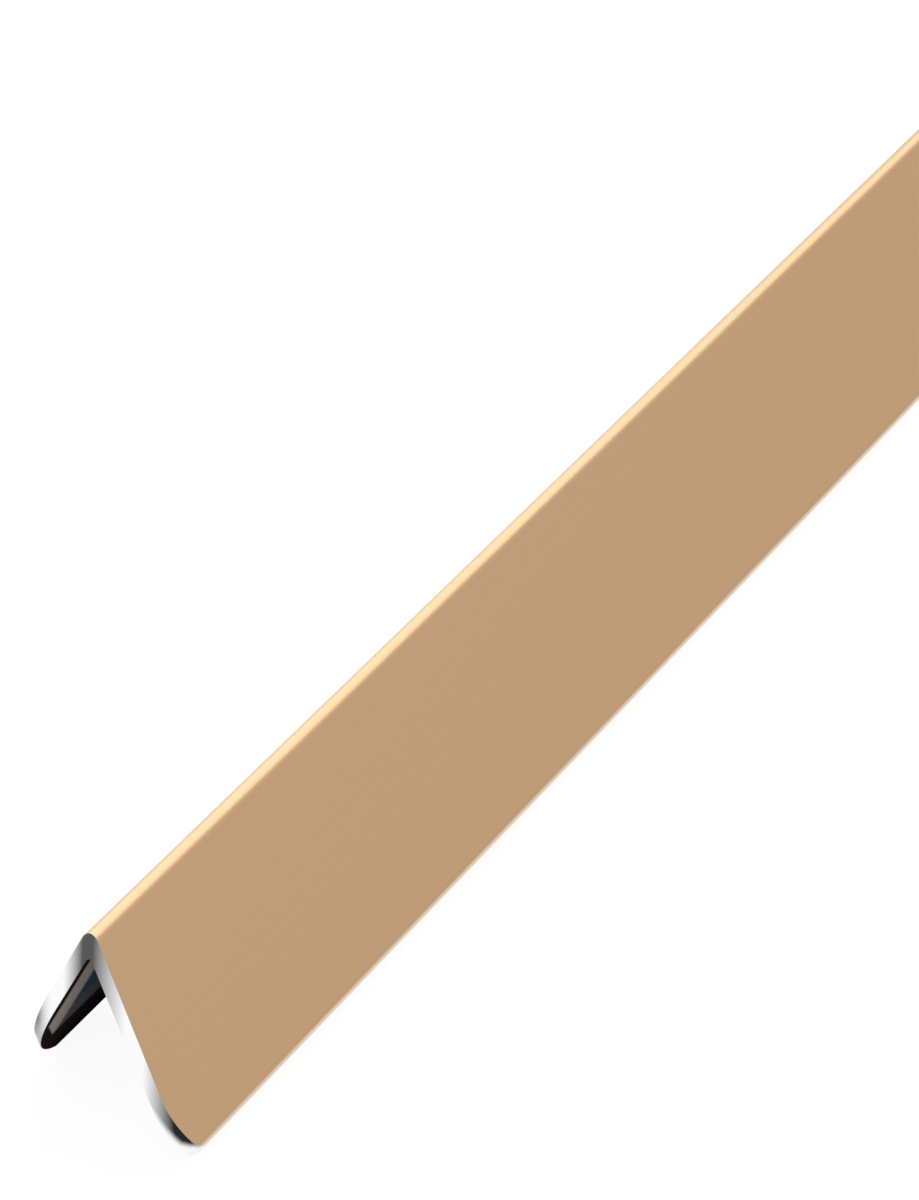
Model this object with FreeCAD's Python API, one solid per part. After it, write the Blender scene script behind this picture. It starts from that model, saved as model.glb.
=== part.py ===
# Corner guard moulding: one length of right-angle aluminium angle, rounded along the ridge.
# The inner faces are square to each other and the wall thins from the corner to the free edges.
# Millimetres. It lies on its two free edges with the ridge up and runs along X.
# The raked, round-tipped end is at -X and the plain square end at +X.
import FreeCAD, Part
import math
import os

# Section
leg_width = 25.0
wall_at_corner = 2.0
wall_at_edge = 1.6
ridge_radius = 2.0
inner_fillet = 0.8
edge_radius = 0.6

# Length over everything, tips included
overall_length = 1000.0

# Raked end: how far each leg's end runs off square, and the rounding of its tip.
# The blend stops square to leg A's free edge and goes on past square on leg B.
end_slant_deg = 26.5
tip_blend_radius = 12.5
tip_nose_radius = 1.2
tip_b_past_square_deg = 47.5

# How far a cutting tool reaches past the stock
tool_clearance = 5.0


def rounded_face(corners, place):
    # A closed outline of (u, v, radius) corners, each corner rounded by a tangent arc
    count = len(corners)
    starts = []
    middles = []
    ends = []
    for index in range(count):
        u, v, radius = corners[index]
        before = corners[index - 1]
        after = corners[(index + 1) % count]
        back = FreeCAD.Vector(before[0] - u, before[1] - v, 0).normalize()
        ahead = FreeCAD.Vector(after[0] - u, after[1] - v, 0).normalize()
        corner = FreeCAD.Vector(u, v, 0)
        half_angle = back.getAngle(ahead) / 2
        reach = radius / math.tan(half_angle)
        inward = (back + ahead).normalize()
        to_arc = radius / math.sin(half_angle) - radius
        starts.append(corner + back * reach)
        middles.append(corner + inward * to_arc)
        ends.append(corner + ahead * reach)
    edges = []
    for index in range(count):
        after = (index + 1) % count
        if corners[index][2] > 0:
            arc = Part.Arc(place(starts[index]), place(middles[index]), place(ends[index]))
            edges.append(arc.toShape())
        if ends[index].distanceToPoint(starts[after]) > 1e-6:
            edges.append(Part.LineSegment(place(ends[index]), place(starts[after])).toShape())
    return Part.Face(Part.Wire(edges))


def angle_section(x):
    # The L section at one place along the length: leg A along Y, leg B along Z
    closing = wall_at_corner - wall_at_edge
    corners = [
        (0, 0, ridge_radius),
        (leg_width, closing, edge_radius),
        (leg_width, wall_at_corner, edge_radius),
        (wall_at_corner, wall_at_corner, inner_fillet),
        (wall_at_corner, leg_width, edge_radius),
        (closing, leg_width, edge_radius),
    ]
    return rounded_face(corners, lambda point: FreeCAD.Vector(x, point.x, point.y))


def tip_centres(past_square):
    # Centres of a tip's blend and nose as (x, p), seen square on the leg's outer face
    slant = math.radians(end_slant_deg)
    inset = tip_blend_radius - tip_nose_radius
    nose_p = leg_width - tip_nose_radius
    blend_p = nose_p - inset * math.sin(past_square)
    blend_x = tip_blend_radius / math.cos(slant) - math.tan(slant) * blend_p
    nose_x = blend_x - inset * math.cos(past_square)
    return (blend_x, blend_p), (nose_x, nose_p)


def end_tool(past_square):
    # What is sawn and filed off a leg's end, drawn on leg A (x along, p across).
    # Sweeping it along the saw's own plane keeps both legs' ends in one flat cut.
    slant = math.radians(end_slant_deg)
    slope = math.tan(slant)
    blend_centre, nose_centre = tip_centres(past_square)
    quarter = math.pi / 2
    ridge_p = -tool_clearance
    edge_p = leg_width + tool_clearance
    front_x = -slope * (leg_width + wall_at_corner) - 2 * tool_clearance

    def flat(x, p):
        return FreeCAD.Vector(x, p, 0)

    def on_arc(centre, radius, heading):
        return flat(centre[0] - radius * math.cos(heading), centre[1] + radius * math.sin(heading))

    def arc(centre, radius, first, last):
        middle = (first + last) / 2
        points = [on_arc(centre, radius, heading) for heading in (first, middle, last)]
        return Part.Arc(points[0], points[1], points[2]).toShape()

    saw_start = flat(-slope * ridge_p, ridge_p)
    saw_end = on_arc(blend_centre, tip_blend_radius, -slant)
    nose_end = on_arc(nose_centre, tip_nose_radius, quarter)
    past_edge = flat(nose_end.x, edge_p)
    front_edge = flat(front_x, edge_p)
    front_ridge = flat(front_x, ridge_p)
    edges = [
        Part.LineSegment(saw_start, saw_end).toShape(),
        arc(blend_centre, tip_blend_radius, -slant, past_square),
        arc(nose_centre, tip_nose_radius, past_square, quarter),
        Part.LineSegment(nose_end, past_edge).toShape(),
        Part.LineSegment(past_edge, front_edge).toShape(),
        Part.LineSegment(front_edge, front_ridge).toShape(),
        Part.LineSegment(front_ridge, saw_start).toShape(),
    ]
    sweep = FreeCAD.Vector(-slope, 0, 1)
    outline = Part.Face(Part.Wire(edges))
    outline.translate(sweep * -tool_clearance)
    return outline.extrude(sweep * (wall_at_corner + 2 * tool_clearance))


# The section is drawn out long enough to saw the raked end from it; leg A's tip leads
slope = math.tan(math.radians(end_slant_deg))
lead = tip_blend_radius - tip_centres(0.0)[0][0] + slope * wall_at_corner
far_x = overall_length - lead
start_x = -lead - tool_clearance
stock = angle_section(start_x).extrude(FreeCAD.Vector(far_x - start_x, 0, 0))

# One saw cut across both legs and a rounded tip on each, leg B's drawn on leg A and mirrored over
ridge_plane = FreeCAD.Vector(0, 1, -1)
tool_a = end_tool(0.0)
tool_b = end_tool(math.radians(tip_b_past_square_deg)).mirror(FreeCAD.Vector(0, 0, 0), ridge_plane)
guard = stock.cut(tool_a).cut(tool_b).removeSplitter()

# Turned ridge up, stood on its free edges, with the origin under the middle of its length
guard.rotate(FreeCAD.Vector(0, 0, 0), FreeCAD.Vector(1, 0, 0), -135)
box = guard.optimalBoundingBox(False, False)
guard.translate(FreeCAD.Vector(-(box.XMin + box.XMax) / 2, 0, -box.ZMin))

os.makedirs("parts", exist_ok=True)
solid = guard.Solids[0]
solid.exportStep("parts/corner_guard.step")
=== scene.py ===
import math
import bpy
from mathutils import Matrix, Vector


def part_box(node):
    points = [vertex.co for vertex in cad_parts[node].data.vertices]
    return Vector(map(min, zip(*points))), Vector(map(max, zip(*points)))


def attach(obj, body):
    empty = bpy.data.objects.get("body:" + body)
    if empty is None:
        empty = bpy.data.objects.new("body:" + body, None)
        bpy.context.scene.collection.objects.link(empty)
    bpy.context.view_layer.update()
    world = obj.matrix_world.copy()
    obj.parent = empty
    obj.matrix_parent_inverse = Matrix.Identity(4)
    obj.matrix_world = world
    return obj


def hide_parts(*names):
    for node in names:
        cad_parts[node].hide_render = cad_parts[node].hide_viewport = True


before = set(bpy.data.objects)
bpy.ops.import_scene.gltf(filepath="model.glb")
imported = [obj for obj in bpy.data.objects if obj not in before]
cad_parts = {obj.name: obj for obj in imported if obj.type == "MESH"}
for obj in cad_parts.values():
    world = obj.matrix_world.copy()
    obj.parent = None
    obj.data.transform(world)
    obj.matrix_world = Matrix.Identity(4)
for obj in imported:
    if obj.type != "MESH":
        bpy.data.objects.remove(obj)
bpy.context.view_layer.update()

mm = 0.001
scene = bpy.context.scene
scene.view_settings.view_transform = "Standard"

# The moulding: a right-angle section, raked and round-tipped at the near end, square at the far end
guard = dict(
    legWidth=25.0,
    wallAtCorner=2.0,
    wallAtEdge=1.6,
    ridgeRadius=2.0,
    innerFillet=0.8,
    edgeRadius=0.6,
    slantDeg=26.5,       # each leg's end runs this far off square
    blendRadius=12.5,    # large rounding of a tip, square to the free edge where it stops on leg A
    noseRadius=1.2,      # small rounding of a tip
    pastSquareDeg=47.5,  # how far past square leg B's large rounding goes
    cutBreak=0.1,        # sharp edge taken off all round a sawn end
    holdLine=0.25,       # keeps a flat face flat beside a rounding
    cornerSteps=8,
    flatSteps=6,
    blendSteps=20,
    noseSteps=8,
    edgeSteps=10,
    wallSteps=4,
    stations=26,         # steps along the length
    sharpDeg=28.0,       # an edge that turns more than this stays crisp
    skin=0.01,           # how near the inner face a face lies to count as lining
    weld=0.0001,         # points closer than this are one
)


def guardSizes(*names):
    return [guard[name] * mm for name in names]


def endLead():
    # how far leg A's tip leads the ridge's near end
    slant = math.radians(guard["slantDeg"])
    width, wall, blend, nose = guardSizes("legWidth", "wallAtCorner", "blendRadius", "noseRadius")
    return math.tan(slant) * (width - nose + wall) - blend * (1 / math.cos(slant) - 1)


def ridgeTop():
    # height of the ridge's sharp corner when both free edges rest on the floor
    width, wall, edge = guardSizes("legWidth", "wallAtCorner", "edgeRadius")
    return (width + wall - 2 * edge) / math.sqrt(2) + edge


lowCorner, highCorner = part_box("corner_guard")
lead = endLead()
ridgeStart = lowCorner[0] + lead
ridgeHeight = ridgeTop()
overallLength = highCorner[0] - lowCorner[0]
print("frame:", [round(v, 5) for v in lowCorner], [round(v, 5) for v in highCorner])


def legPoint(along, down, deep):
    # A place in the frame: along from the ridge's near end, down leg A, deep into its wall
    side = (deep - down) / math.sqrt(2)
    height = ridgeHeight - (down + deep) / math.sqrt(2)
    return Vector((ridgeStart + along, side, height))


# Section
def onArc(centre, radius, angle):
    return (centre[0] + radius * math.cos(angle), centre[1] + radius * math.sin(angle))


def flatStations(pastSquare):
    # How far from the ridge the points of a leg's flat lie, closest together where its end is rounded
    width, wall, fillet, edge = guardSizes("legWidth", "wallAtCorner", "innerFillet", "edgeRadius")
    blend, nose, hold = guardSizes("blendRadius", "noseRadius", "holdLine")
    slant = math.radians(guard["slantDeg"])
    flatSteps, blendSteps, noseSteps = guard["flatSteps"], guard["blendSteps"], guard["noseSteps"]
    noseDown = width - nose
    blendDown = noseDown - (blend - nose) * math.sin(pastSquare)
    flatStart = wall + fillet + 4 * hold         # clear of the corner's own points
    flatEnd = blendDown - blend * math.sin(slant)
    flats = [flatStart + (flatEnd - flatStart) * step / flatSteps for step in range(flatSteps)]
    for step in range(blendSteps):
        heading = -slant + (slant + pastSquare) * step / blendSteps
        flats.append(blendDown + blend * math.sin(heading))
    for step in range(noseSteps):
        heading = pastSquare + (math.pi / 2 - pastSquare) * step / noseSteps
        flats.append(noseDown + nose * math.sin(heading))
    flatStop = width - edge - hold / 4           # clear of the free edge's rounding
    return [down for down in flats if down < flatStop]


def legStations(pastSquare):
    # Outer and inner points of one leg, from the corner to the free edge, as (down, deep)
    width, wall, thin, edge = guardSizes("legWidth", "wallAtCorner", "wallAtEdge", "edgeRadius")
    ridge, fillet, hold = guardSizes("ridgeRadius", "innerFillet", "holdLine")
    cornerSteps, edgeSteps = guard["cornerSteps"], guard["edgeSteps"]
    lean = math.atan2(wall - thin, width)        # the outer face closes in on the inner one
    toCorner = math.radians(225)                 # from an arc's centre out to the corner
    ridgeMiddle = ridge / math.sin(math.pi / 4 - lean) / math.sqrt(2)
    ridgeCentre = (ridgeMiddle, ridgeMiddle)
    filletCentre = (wall + fillet, wall + fillet)
    outerEdge = (width - edge, (edge + (width - edge) * math.sin(lean)) / math.cos(lean))
    innerEdge = (width - edge, wall - edge)
    outer = []
    inner = []
    for step in range(cornerSteps + 1):
        share = step / cornerSteps
        outer.append(onArc(ridgeCentre, ridge, toCorner + (math.pi / 4 + lean) * share))
        inner.append(onArc(filletCentre, fillet, toCorner + math.pi / 4 * share))
    outerHold = outer[-1][0] + hold
    outer.append((outerHold, outerHold * math.tan(lean)))
    inner.append((inner[-1][0] + hold, wall))
    flats = flatStations(pastSquare)
    outer += [(down, down * math.tan(lean)) for down in flats]
    inner += [(down, wall) for down in flats]
    for step in range(edgeSteps + 1):
        left = 1 - step / edgeSteps
        outer.append(onArc(outerEdge, edge, -(math.pi / 2 - lean) * left))
        inner.append(onArc(innerEdge, edge, math.pi / 2 * left))
    return outer, inner


def swapLegs(points):
    return [(deep, down) for down, deep in reversed(points)]


def mixPoints(first, second, share):
    return tuple(a + (b - a) * share for a, b in zip(first, second))


def turnSign(loop):
    # which way round the loop runs, so that the rim is always stepped inwards
    area = 0.0
    for index in range(len(loop)):
        before = loop[index - 1]
        here = loop[index]
        area += before[0] * here[1] - here[0] * before[1]
    return -1.0 if area > 0 else 1.0


def drawSection():
    # The section as a flat mesh in (0, down, deep): a strip across the wall and a narrow rim round it
    outerA, innerA = legStations(0.0)
    outerB, innerB = legStations(math.radians(guard["pastSquareDeg"]))
    outer = swapLegs(outerB)[:-1] + outerA
    inner = swapLegs(innerB)[:-1] + innerA
    cross = guard["wallSteps"]
    last = len(outer) - 1

    # once round the boundary: outer side, free edge of leg A, inner side, free edge of leg B
    slots = [(row, 0) for row in range(last + 1)] + [(last, step) for step in range(1, cross)]
    slots += [(row, cross) for row in range(last, -1, -1)]
    slots += [(0, step) for step in range(cross - 1, 0, -1)]
    rim = [mixPoints(outer[row], inner[row], step / cross) for row, step in slots]
    count = len(rim)
    inwards = guard["cutBreak"] * mm * turnSign(rim)
    inset = {}
    for index in range(count):
        before = Vector(rim[index - 1])
        after = Vector(rim[(index + 1) % count])
        run = (after - before).normalized()
        inset[slots[index]] = Vector(rim[index]) + Vector((run.y, -run.x)) * inwards
    places = [Vector((0, down, deep)) for down, deep in rim]
    indexOf = {}
    for row in range(last + 1):
        for step in range(cross + 1):
            spot = inset.get((row, step))
            if spot is None:
                spot = inset[(row, 0)].lerp(inset[(row, cross)], step / cross)
            indexOf[(row, step)] = len(places)
            places.append(Vector((0, spot.x, spot.y)))
    faces = []
    for row in range(last):
        for step in range(cross):
            corners = [(row, step), (row + 1, step), (row + 1, step + 1), (row, step + 1)]
            faces.append([indexOf[corner] for corner in corners])
    for index in range(count):
        after = (index + 1) % count
        faces.append((index, after, indexOf[slots[after]], indexOf[slots[index]]))
    mesh = bpy.data.meshes.new("guardSection")
    mesh.from_pydata(places, [], faces)
    mesh.update()
    rimMark = mesh.attributes.new("rim", "FLOAT", "POINT")
    rimMark.data.foreach_set("value", [1.0 if index < count else 0.0 for index in range(len(places))])
    return mesh


# Nodes, for the sweep and for the finishes
class Tree:
    def __init__(self, tree):
        self.tree = tree

    def node(self, kind, **settings):
        made = self.tree.nodes.new(kind)
        for name, value in settings.items():
            setattr(made, name, value)
        return made

    def join(self, source, target):
        if isinstance(source, bpy.types.NodeSocket):
            self.tree.links.new(source, target)
        else:
            target.default_value = source

    def math(self, operation, first, second=0.0):
        made = self.node("ShaderNodeMath", operation=operation)
        self.join(first, made.inputs[0])
        self.join(second, made.inputs[1])
        return made.outputs[0]

    def plus(self, first, second):
        return self.math("ADD", first, second)

    def minus(self, first, second):
        return self.math("SUBTRACT", first, second)

    def times(self, first, second):
        return self.math("MULTIPLY", first, second)

    def split(self, vector):
        made = self.node("ShaderNodeSeparateXYZ")
        self.join(vector, made.inputs[0])
        return made.outputs

    def vector(self, x, y, z):
        made = self.node("ShaderNodeCombineXYZ")
        for value, socket in zip((x, y, z), made.inputs):
            self.join(value, socket)
        return made.outputs[0]

    def choose(self, test, whenFalse, whenTrue):
        made = self.node("GeometryNodeSwitch", input_type="FLOAT")
        self.join(test, made.inputs["Switch"])
        self.join(whenFalse, made.inputs["False"])
        self.join(whenTrue, made.inputs["True"])
        return made.outputs[0]

    def less(self, first, second):
        made = self.node("FunctionNodeCompare", data_type="FLOAT", operation="LESS_THAN")
        self.join(first, made.inputs[0])
        self.join(second, made.inputs[1])
        return made.outputs[0]

    def named(self, name, kind):
        made = self.node("GeometryNodeInputNamedAttribute", data_type=kind)
        made.inputs["Name"].default_value = name
        return made.outputs["Attribute"]

    def keep(self, geometry, name, kind, domain, value):
        made = self.node("GeometryNodeStoreNamedAttribute", data_type=kind, domain=domain)
        self.join(geometry, made.inputs["Geometry"])
        made.inputs["Name"].default_value = name
        self.join(value, made.inputs["Value"])
        return made.outputs["Geometry"]


def sweepSection(nodes, given):
    # The flat section is drawn out along X in equal steps, 0 to 1, and closed behind by its own copy
    start = nodes.node("GeometryNodeRepeatInput")
    end = nodes.node("GeometryNodeRepeatOutput")
    start.pair_with_output(end)
    end.repeat_items.new("BOOLEAN", "Top")
    nodes.join(given["Stations"], start.inputs["Iterations"])
    nodes.join(given["Geometry"], start.inputs["Geometry"])
    start.inputs["Top"].default_value = True
    pull = nodes.node("GeometryNodeExtrudeMesh", mode="FACES")
    nodes.join(start.outputs["Geometry"], pull.inputs["Mesh"])
    nodes.join(start.outputs["Top"], pull.inputs["Selection"])
    oneStep = nodes.math("DIVIDE", 1.0, given["Stations"])
    nodes.join(nodes.vector(oneStep, 0.0, 0.0), pull.inputs["Offset"])
    pull.inputs["Offset Scale"].default_value = 1.0
    pull.inputs["Individual"].default_value = False
    nodes.join(pull.outputs["Mesh"], end.inputs["Geometry"])
    nodes.join(pull.outputs["Top"], end.inputs["Top"])
    back = nodes.node("GeometryNodeFlipFaces")
    nodes.join(given["Geometry"], back.inputs["Mesh"])
    both = nodes.node("GeometryNodeJoinGeometry")
    nodes.join(end.outputs["Geometry"], both.inputs["Geometry"])
    nodes.join(back.outputs["Mesh"], both.inputs["Geometry"])
    weld = nodes.node("GeometryNodeMergeByDistance")
    nodes.join(both.outputs["Geometry"], weld.inputs["Geometry"])
    weld.inputs["Distance"].default_value = guard["weld"] * mm
    return weld.outputs["Geometry"]


def tipOutline(nodes, given, fromRidge, onSaw, onLegB):
    # A leg's raked end on its outer face: straight saw cut, large blend, small nose
    slope = given["Slope"]
    blend = given["Blend Radius"]
    nose = given["Nose Radius"]
    pastSquare = nodes.choose(onLegB, 0.0, given["Leg B Past Square"])
    overSine = nodes.math("SINE", pastSquare)
    secant = nodes.math("SQRT", nodes.plus(1.0, nodes.times(slope, slope)))
    slantSine = nodes.math("DIVIDE", slope, secant)
    inset = nodes.minus(blend, nose)
    noseDown = nodes.minus(given["Leg Width"], nose)
    blendDown = nodes.minus(noseDown, nodes.times(inset, overSine))
    blendAlong = nodes.minus(nodes.times(blend, secant), nodes.times(slope, blendDown))
    noseAlong = nodes.minus(blendAlong, nodes.times(inset, nodes.math("COSINE", pastSquare)))

    def onRound(along, centre, radius):
        past = nodes.minus(fromRidge, centre)
        rest = nodes.minus(nodes.times(radius, radius), nodes.times(past, past))
        return nodes.minus(along, nodes.math("SQRT", nodes.math("MAXIMUM", rest, 0.0)))

    blendStart = nodes.minus(blendDown, nodes.times(blend, slantSine))
    noseStart = nodes.plus(blendDown, nodes.times(blend, overSine))
    onBlend = onRound(blendAlong, blendDown, blend)
    onNose = onRound(noseAlong, noseDown, nose)
    onTip = nodes.choose(nodes.less(noseStart, fromRidge), onBlend, onNose)
    return nodes.choose(nodes.less(fromRidge, blendStart), onTip, onSaw)


def shadeAndPaint(nodes, geometry, paints):
    # Round where it curves, sharp at the sawn edges, then one finish over another
    soft = nodes.node("GeometryNodeSetShadeSmooth", domain="FACE")
    nodes.join(geometry, soft.inputs["Geometry"])
    crisp = nodes.node("GeometryNodeSetShadeSmooth", domain="EDGE")
    nodes.join(soft.outputs[0], crisp.inputs["Geometry"])
    angle = nodes.node("GeometryNodeInputMeshEdgeAngle").outputs["Unsigned Angle"]
    nodes.join(nodes.less(math.radians(guard["sharpDeg"]), angle), crisp.inputs["Selection"])
    crisp.inputs["Shade Smooth"].default_value = False
    real = nodes.node("GeometryNodeRealizeInstances")
    nodes.join(crisp.outputs[0], real.inputs[0])
    last = real.outputs[0]
    for material, selection in paints:
        paint = nodes.node("GeometryNodeSetMaterial")
        paint.inputs["Material"].default_value = material
        nodes.join(last, paint.inputs["Geometry"])
        if selection:
            nodes.join(nodes.named(selection, "BOOLEAN"), paint.inputs["Selection"])
        last = paint.outputs[0]
    return last


def guardTree(sizes, coat, cut, lining):
    tree = bpy.data.node_groups.new("guardSweep", "GeometryNodeTree")
    face = tree.interface
    face.new_socket("Geometry", in_out="OUTPUT", socket_type="NodeSocketGeometry")
    face.new_socket("Geometry", in_out="INPUT", socket_type="NodeSocketGeometry")
    for name, value in sizes.items():
        kind = "NodeSocketInt" if isinstance(value, int) else "NodeSocketFloat"
        face.new_socket(name, in_out="INPUT", socket_type=kind)
    nodes = Tree(tree)
    given = nodes.node("NodeGroupInput").outputs
    result = nodes.node("NodeGroupOutput")
    swept = sweepSection(nodes, given)

    # While the sweep is straight, X is a share of the length, Y runs down leg A and Z down leg B
    share, down, deep = nodes.split(nodes.node("GeometryNodeInputPosition").outputs[0])
    fromRidge = nodes.math("MAXIMUM", down, deep)
    intoWall = nodes.math("MINIMUM", down, deep)
    facing = nodes.split(nodes.node("GeometryNodeInputNormal").outputs[0])
    isCut = nodes.less(0.5, nodes.math("ABSOLUTE", facing[0]))     # faces more along the length than across
    isLining = nodes.less(nodes.minus(given["Wall"], guard["skin"] * mm), intoWall)
    marked = nodes.keep(swept, "isLining", "BOOLEAN", "FACE", isLining)
    marked = nodes.keep(marked, "isCut", "BOOLEAN", "FACE", isCut)

    # Every row lies between the near end's outline and the square far end
    onSaw = nodes.times(nodes.times(given["Slope"], -1.0), fromRidge)
    outline = tipOutline(nodes, given, fromRidge, onSaw, nodes.less(down, deep))
    sawLean = nodes.times(given["Slope"], intoWall)
    broken = nodes.times(nodes.named("rim", "FLOAT"), given["Cut Break"])
    first = nodes.plus(nodes.minus(outline, sawLean), broken)
    final = nodes.minus(nodes.minus(given["Length"], given["Lead"]), broken)
    along = nodes.plus(first, nodes.times(share, nodes.minus(final, first)))

    # Places on the piece for the finishes: from the ridge, through the wall, in from the saw's plane
    places = {
        "fromRidge": fromRidge,
        "wallShare": nodes.math("DIVIDE", intoWall, given["Wall"]),
        "fromSaw": nodes.minus(along, nodes.minus(onSaw, sawLean)),
    }
    for name, value in places.items():
        marked = nodes.keep(marked, name, "FLOAT", "POINT", value)

    half = math.sqrt(0.5)
    side = nodes.times(nodes.minus(deep, down), half)
    height = nodes.minus(given["Ridge Height"], nodes.times(nodes.plus(deep, down), half))
    place = nodes.vector(nodes.plus(along, given["Ridge Start"]), side, height)
    shaped = nodes.node("GeometryNodeSetPosition")
    nodes.join(marked, shaped.inputs["Geometry"])
    nodes.join(place, shaped.inputs["Position"])
    paints = [(coat, None), (lining, "isLining"), (cut, "isCut")]
    nodes.join(shadeAndPaint(nodes, shaped.outputs[0], paints), result.inputs[0])
    return tree


# Finishes
def newMaterial(name):
    material = bpy.data.materials.new(name)
    material.use_nodes = True
    nodes = Tree(material.node_tree)
    shader = material.node_tree.nodes["Principled BSDF"]
    return material, nodes, shader


def objectPlace(nodes):
    return nodes.node("ShaderNodeTexCoord").outputs["Object"]


def objectNoise(nodes, scale=1.0, detail=2.0, stretch=(1, 1, 1)):
    fit = nodes.node("ShaderNodeMapping")
    fit.inputs["Scale"].default_value = stretch
    nodes.join(objectPlace(nodes), fit.inputs["Vector"])
    noise = nodes.node("ShaderNodeTexNoise")
    noise.inputs["Scale"].default_value = scale
    noise.inputs["Detail"].default_value = detail
    nodes.join(fit.outputs[0], noise.inputs["Vector"])
    return noise.outputs["Fac"]


def mapRange(nodes, value, source, target, shape="LINEAR"):
    made = nodes.node("ShaderNodeMapRange", interpolation_type=shape)
    nodes.join(value, made.inputs["Value"])
    for name, number in zip(["From Min", "From Max", "To Min", "To Max"], [*source, *target]):
        made.inputs[name].default_value = number
    return made.outputs["Result"]


def spread(nodes, noise, low, high):
    # noise lies mostly between 0.3 and 0.7
    return mapRange(nodes, noise, (0.3, 0.7), (low, high))


def rise(nodes, value, span, unit=1.0):
    # 0 before the span, 1 after it
    return mapRange(nodes, value, (span[0] * unit, span[1] * unit), (0.0, 1.0), "SMOOTHSTEP")


def attribute(nodes, name):
    made = nodes.node("ShaderNodeAttribute", attribute_name=name)
    return made.outputs["Fac"]


def solid(colour):
    return (*colour, 1)


def grey(tone):
    return (tone, tone, tone, 1)


def ramp(nodes, value, stops):
    # tones along a leg's width, given as (mm, tone)
    made = nodes.node("ShaderNodeValToRGB")
    band = made.color_ramp
    while len(band.elements) < len(stops):
        band.elements.new(0.5)
    for element, (place, tone) in zip(band.elements, stops):
        element.position = place / guard["legWidth"]
        element.color = grey(tone)
    nodes.join(nodes.math("DIVIDE", value, guard["legWidth"] * mm), made.inputs["Fac"])
    return made.outputs["Color"]


def mixColours(nodes, blend, factor, first, second):
    made = nodes.node("ShaderNodeMix", data_type="RGBA", blend_type=blend)
    colours = [socket for socket in made.inputs if socket.type == "RGBA"]
    nodes.join(factor, made.inputs["Factor"])
    nodes.join(first, colours[0])
    nodes.join(second, colours[1])
    return [socket for socket in made.outputs if socket.type == "RGBA"][0]


def roughen(nodes, shader, noise, finish):
    low = finish["roughness"] - finish["roughSpread"]
    high = finish["roughness"] + finish["roughSpread"]
    nodes.join(spread(nodes, noise, low, high), shader.inputs["Roughness"])


def fineBump(nodes, shader, height, distance):
    made = nodes.node("ShaderNodeBump")
    made.inputs["Distance"].default_value = distance
    made.inputs["Strength"].default_value = 1.0
    nodes.join(height, made.inputs["Height"])
    nodes.join(made.outputs[0], shader.inputs["Normal"])


# Satin champagne outside, with faint draw lines along the length and a painted highlight on each free
# edge's rounding
champagne = dict(
    colour=(0.516, 0.331, 0.188),
    tone=0.006,               # how far the colour wanders
    roughness=0.36,
    roughSpread=0.03,
    drawLines=(4.0, 2600.0, 2600.0),
    drawDetail=3.0,
    grain=5200.0,
    grainDepth=0.0015,        # mm
    # painted highlight along the free edge's rounding, a pale champagne
    edgePaintedHighlight=(0.86, 0.72, 0.56),
    edgeHighlightSpan=(24.62, 25.02),  # mm from the ridge over which the free edge's rounding takes the painted highlight
)


def champagneCoat():
    material, nodes, shader = newMaterial("champagneCoat")
    lines = objectNoise(nodes, detail=champagne["drawDetail"], stretch=champagne["drawLines"])
    grain = objectNoise(nodes, scale=champagne["grain"])
    pale = solid([c * (1 + champagne["tone"]) for c in champagne["colour"]])
    deep = solid([c * (1 - champagne["tone"]) for c in champagne["colour"]])
    toned = mixColours(nodes, "MIX", spread(nodes, lines, 0.0, 1.0), deep, pale)
    # painted highlight where the free edge rounds off
    onEdgeHighlight = rise(nodes, attribute(nodes, "fromRidge"), champagne["edgeHighlightSpan"], mm)
    edgeHighlighted = mixColours(nodes, "MIX", onEdgeHighlight, toned, solid(champagne["edgePaintedHighlight"]))
    nodes.join(edgeHighlighted, shader.inputs["Base Color"])
    roughen(nodes, shader, grain, champagne)
    fineBump(nodes, shader, grain, champagne["grainDepth"] * mm)
    shader.inputs["Metallic"].default_value = 1.0
    return material


# Bare metal of a sawn end with painted reflection: painted shade under the ridge, a painted highlight along
# each leg, painted shade again round each tip
cutMetal = dict(
    colour=(0.97, 0.97, 0.975),
    roughness=0.28,
    roughSpread=0.05,
    # Painted reflection by mm out from under the ridge: painted shade, up to a painted highlight, and down
    # again to painted shade at the tip
    legAPaintedReflection=[(0.6, 0.09), (6.6, 1.0), (9.8, 1.0), (14.7, 0.02)],
    legBPaintedReflection=[(1.1, 0.09), (4.25, 1.0), (6.4, 1.0), (9.6, 0.42), (18.0, 0.25)],
    # How far the painted highlight on the inner side comes out at leg A's tip, by mm from the ridge
    tipPaintedHighlight=[(17.0, 0.0), (19.0, 0.36), (23.0, 0.58), (24.4, 1.0)],
    paintedHighlightSpan=(1.0, 1.5),    # wall share plus that, over which the cut turns to the painted highlight
    paintedShadeSpan=(11.0, 14.0),    # mm from the ridge over which painted shade grows on leg B's outer side
    paintedShadeFade=(0.15, 0.8),     # share of the wall over which that painted shade fades inwards
    # how dark that painted shade gets
    paintedShadeTone=0.35,
    farTone=0.62,             # the square end
    sawLines=(60.0, 60.0, 9000.0),
    sawDepth=0.0015,          # mm
)


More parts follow.
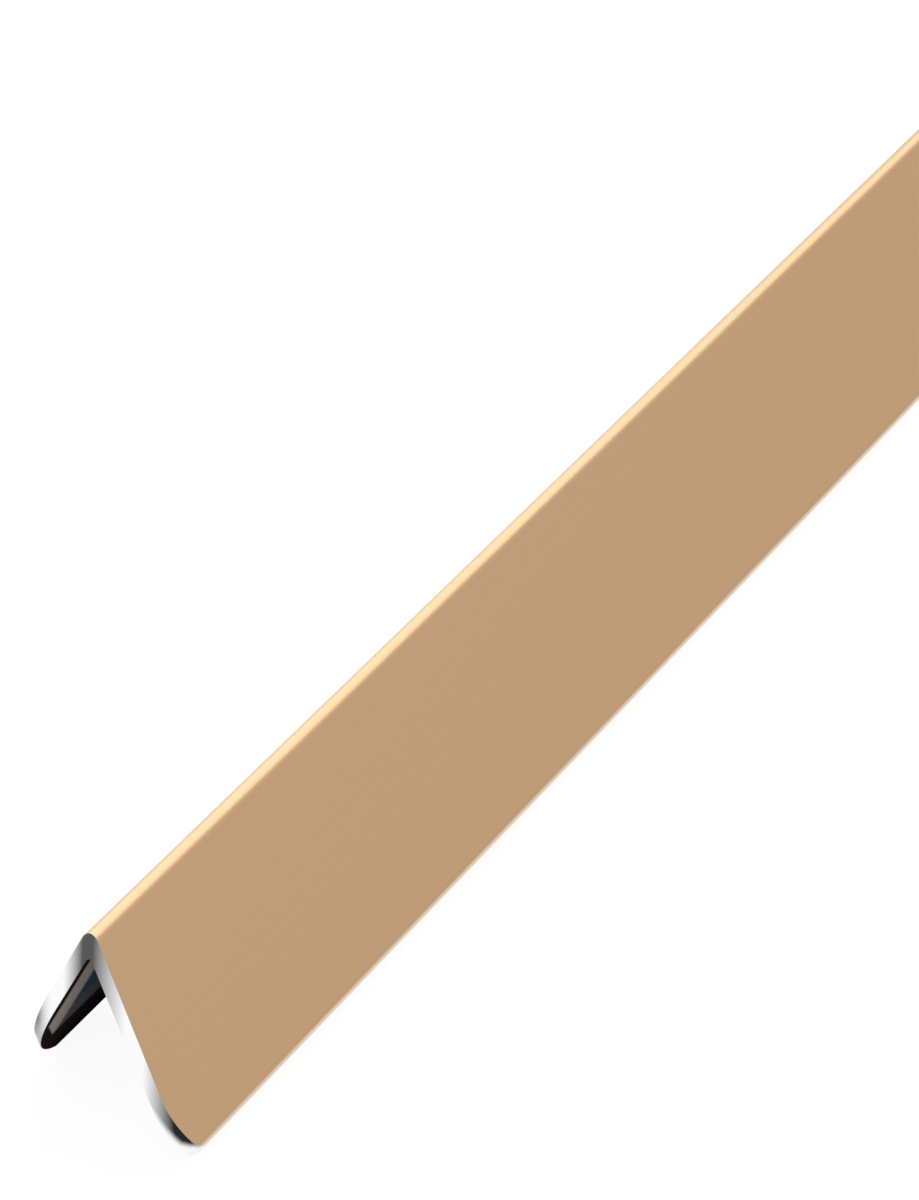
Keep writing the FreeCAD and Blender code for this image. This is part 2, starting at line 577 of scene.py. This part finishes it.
def sawnCut():
    material, nodes, shader = newMaterial("sawnAluminiumPaintedReflection")
    along, side = nodes.split(objectPlace(nodes))[:2]
    out = nodes.math("ABSOLUTE", side)
    fromRidge = attribute(nodes, "fromRidge")
    wallShare = attribute(nodes, "wallShare")
    # painted highlight on the inner side of the cut, reaching further out at leg A's tip
    highlightReach = ramp(nodes, fromRidge, cutMetal["tipPaintedHighlight"])
    paintedHighlight = rise(nodes, nodes.plus(wallShare, highlightReach), cutMetal["paintedHighlightSpan"])
    legA = mixColours(nodes, "MIX", paintedHighlight, ramp(nodes, out, cutMetal["legAPaintedReflection"]), grey(1))
    # painted shade on leg B's outer side, away from the ridge
    outerSide = nodes.minus(1.0, rise(nodes, wallShare, cutMetal["paintedShadeFade"]))
    paintedShade = nodes.times(outerSide, rise(nodes, fromRidge, cutMetal["paintedShadeSpan"], mm))
    legBPaintedReflection = ramp(nodes, out, cutMetal["legBPaintedReflection"])
    legB = mixColours(nodes, "MULTIPLY", paintedShade, legBPaintedReflection, grey(cutMetal["paintedShadeTone"]))
    nearEnd = mixColours(nodes, "MIX", nodes.math("GREATER_THAN", side, 0.0), legA, legB)
    isNear = nodes.math("LESS_THAN", along, 0.0)
    tones = mixColours(nodes, "MIX", isNear, grey(cutMetal["farTone"]), nearEnd)
    toned = mixColours(nodes, "MULTIPLY", 1.0, solid(cutMetal["colour"]), tones)
    nodes.join(toned, shader.inputs["Base Color"])
    lines = objectNoise(nodes, stretch=cutMetal["sawLines"])
    roughen(nodes, shader, lines, cutMetal)
    fineBump(nodes, shader, lines, cutMetal["sawDepth"] * mm)
    shader.inputs["Metallic"].default_value = 1.0
    return material


# Dark inside, painted with reflection and shade: black painted shade along the free edge, the saw and the
# tip, a grey painted reflection beside the raked end, then navy painted reflection.
# Each pair is the mm over which one turns into the next.
liningPaintedLight = dict(
    # the black is painted shade; the grey, navy and slate are painted reflections
    paintedShadeBlack=(0.0200, 0.0142, 0.0114),
    grey=(0.41, 0.365, 0.33),
    navyReflection=(0.040, 0.074, 0.112),
    slateReflection=(0.098, 0.108, 0.118),
    sawPaintedShade=(1.3, 2.1),      # from the saw's plane, black painted shade to the grey painted reflection
    greyReflectionEnd=(4.8, 6.2),       # from the saw's plane, grey painted reflection to navy painted reflection
    slateReflectionStart=(12.6, 15.4),  # from the ridge, navy painted reflection to slate painted reflection
    edgePaintedShadow=(17.5, 18.5),   # from the ridge, to the black painted shadow along the free edge
    tipPaintedShadow=(-10.6, -10.3),  # along the ridge from its near end, where the line of the black painted shadow at the tip would meet it
    tipLean=0.3,              # how far that line leans back for each mm from the ridge
    roughness=0.45,
)


def paintedReflectionLining():
    material, nodes, shader = newMaterial("paintedReflectionLining")
    fromRidge = attribute(nodes, "fromRidge")
    fromSaw = attribute(nodes, "fromSaw")
    along = nodes.minus(nodes.split(objectPlace(nodes))[0], ridgeStart)
    places = {
        "sawPaintedShade": fromSaw,
        "greyReflectionEnd": fromSaw,
        "slateReflectionStart": fromRidge,
        "edgePaintedShadow": fromRidge,
        "tipPaintedShadow": nodes.minus(along, nodes.times(fromRidge, liningPaintedLight["tipLean"])),
    }
    turn = {name: rise(nodes, place, liningPaintedLight[name], mm) for name, place in places.items()}
    colour = {name: solid(liningPaintedLight[name]) for name in ["paintedShadeBlack", "grey", "navyReflection", "slateReflection"]}
    deepPart = mixColours(nodes, "MIX", turn["slateReflectionStart"], colour["navyReflection"], colour["slateReflection"])
    bands = mixColours(nodes, "MIX", turn["greyReflectionEnd"], colour["grey"], deepPart)
    # black painted shade along the saw, the tip and the free edge
    clear = nodes.math("MINIMUM", turn["sawPaintedShade"], turn["tipPaintedShadow"])
    clear = nodes.math("MINIMUM", clear, nodes.minus(1.0, turn["edgePaintedShadow"]))
    nodes.join(mixColours(nodes, "MIX", clear, colour["paintedShadeBlack"], bands), shader.inputs["Base Color"])
    shader.inputs["Roughness"].default_value = liningPaintedLight["roughness"]
    shader.inputs["Specular IOR Level"].default_value = 0.0
    return material


def makeGuard():
    draft = bpy.data.objects.new("guardDraft", drawSection())
    scene.collection.objects.link(draft)
    sizes = {
        "Length": overallLength,
        "Lead": lead,
        "Leg Width": guard["legWidth"] * mm,
        "Wall": guard["wallAtCorner"] * mm,
        "Slope": math.tan(math.radians(guard["slantDeg"])),
        "Blend Radius": guard["blendRadius"] * mm,
        "Nose Radius": guard["noseRadius"] * mm,
        "Leg B Past Square": math.radians(guard["pastSquareDeg"]),
        "Cut Break": guard["cutBreak"] * mm,
        "Ridge Start": ridgeStart,
        "Ridge Height": ridgeHeight,
        "Stations": guard["stations"],
    }
    tree = guardTree(sizes, champagneCoat(), sawnCut(), paintedReflectionLining())
    sweep = draft.modifiers.new("guardSweep", "NODES")
    sweep.node_group = tree
    for socket in tree.interface.items_tree:
        if socket.in_out == "INPUT" and socket.name in sizes:
            sweep[socket.identifier] = sizes[socket.name]
    evaluated = bpy.context.evaluated_depsgraph_get()
    mesh = bpy.data.meshes.new_from_object(draft.evaluated_get(evaluated), depsgraph=evaluated)
    mesh.name = "cornerGuard"
    bpy.data.objects.remove(draft)
    piece = bpy.data.objects.new("cornerGuard", mesh)
    scene.collection.objects.link(piece)
    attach(piece, "root")
    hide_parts("corner_guard")
    print("guard:", len(mesh.vertices), "vertices,", len(mesh.polygons), "faces,",
          len(mesh.materials), "materials")


# Floor, light and camera
studio = dict(
    floorSize=12.0,
    floorGap=0.02,       # mm under the free edges
    floorColour=(0.97, 0.97, 0.97),
    floorRoughness=0.9,
    floorLift=0.94,      # how far the paper is white by itself, which keeps the shadow light
    ambient=0.74,        # what the white room adds to matt surfaces
    keyStrength=1.25,
    keyAngleDeg=60.0,
    keyFrom=(0.38, 0.39, 0.80),
    rimStrength=0.27,
    rimAngleDeg=40.0,
    rimFrom=(0.35, 0.90, 0.30),
)


def seenDirectly(nodes):
    # camera, mirror and glass rays
    ray = nodes.node("ShaderNodeLightPath").outputs
    seen = nodes.math("MAXIMUM", ray["Is Camera Ray"], ray["Is Glossy Ray"])
    return nodes.math("MAXIMUM", seen, ray["Is Transmission Ray"])


def makeFloor():
    half = studio["floorSize"] / 2
    level = -studio["floorGap"] * mm
    corners = [(-half, -half, level), (half, -half, level), (half, half, level), (-half, half, level)]
    mesh = bpy.data.meshes.new("floor")
    mesh.from_pydata(corners, [], [(0, 1, 2, 3)])
    floor = bpy.data.objects.new("floor", mesh)
    scene.collection.objects.link(floor)
    material, nodes, shader = newMaterial("paperFloor")
    shader.inputs["Base Color"].default_value = solid(studio["floorColour"])
    shader.inputs["Roughness"].default_value = studio["floorRoughness"]
    shader.inputs["Specular IOR Level"].default_value = 0.0
    white = nodes.node("ShaderNodeEmission")
    paper = nodes.node("ShaderNodeMixShader")
    nodes.join(nodes.times(seenDirectly(nodes), studio["floorLift"]), paper.inputs[0])
    nodes.join(shader.outputs[0], paper.inputs[1])
    nodes.join(white.outputs[0], paper.inputs[2])
    nodes.join(paper.outputs[0], material.node_tree.nodes["Material Output"].inputs["Surface"])
    mesh.materials.append(material)
    print("floor: white paper")


def makeLight():
    world = bpy.data.worlds.new("whiteRoom")
    scene.world = world
    world.use_nodes = True
    nodes = Tree(world.node_tree)
    sky = world.node_tree.nodes["Background"]
    sky.inputs["Color"].default_value = grey(1)
    lift = nodes.times(seenDirectly(nodes), 1 - studio["ambient"])
    nodes.join(nodes.plus(lift, studio["ambient"]), sky.inputs["Strength"])
    for name in ["key", "rim"]:
        lamp = bpy.data.lights.new(name + "Lamp", "SUN")
        lamp.energy = studio[name + "Strength"]
        lamp.angle = math.radians(studio[name + "AngleDeg"])
        placed = bpy.data.objects.new(name + "Lamp", lamp)
        placed.rotation_euler = Vector(studio[name + "From"]).to_track_quat("Z", "Y").to_euler()
        scene.collection.objects.link(placed)
    print("light: white room, soft key and a rim light from behind")


view = dict(
    lens=96.40,
    sensor=36.0,         # along the picture's long side
    clipStart=0.01,
    azimuthDeg=-35.592,
    elevationDeg=27.986,
    rollDeg=25.643,
    distance=369.94,     # mm
    aimAlong=60.14,      # mm along the ridge from its near end
    aimDown=2.75,        # mm down leg A's outer face
)


def makeCamera():
    azimuth = math.radians(view["azimuthDeg"])
    elevation = math.radians(view["elevationDeg"])
    roll = math.radians(view["rollDeg"])
    level = math.cos(elevation)
    back = Vector((math.sin(azimuth) * level, -math.cos(azimuth) * level, math.sin(elevation)))
    flatRight = Vector((0, 0, 1)).cross(back).normalized()
    flatUp = back.cross(flatRight)
    up = flatUp * math.cos(roll) + flatRight * math.sin(roll)
    right = flatRight * math.cos(roll) - flatUp * math.sin(roll)
    aim = legPoint(view["aimAlong"] * mm, view["aimDown"] * mm, 0.0)
    camera = bpy.data.objects.new("camera", bpy.data.cameras.new("camera"))
    camera.data.lens = view["lens"]
    camera.data.sensor_width = view["sensor"]
    camera.data.clip_start = view["clipStart"]
    camera.matrix_world = Matrix((right, up, back)).transposed().to_4x4()
    camera.location = aim + back * view["distance"] * mm
    scene.collection.objects.link(camera)
    scene.camera = camera
    print("camera:", [round(v, 4) for v in camera.location])


makeGuard()
makeFloor()
makeLight()
makeCamera()
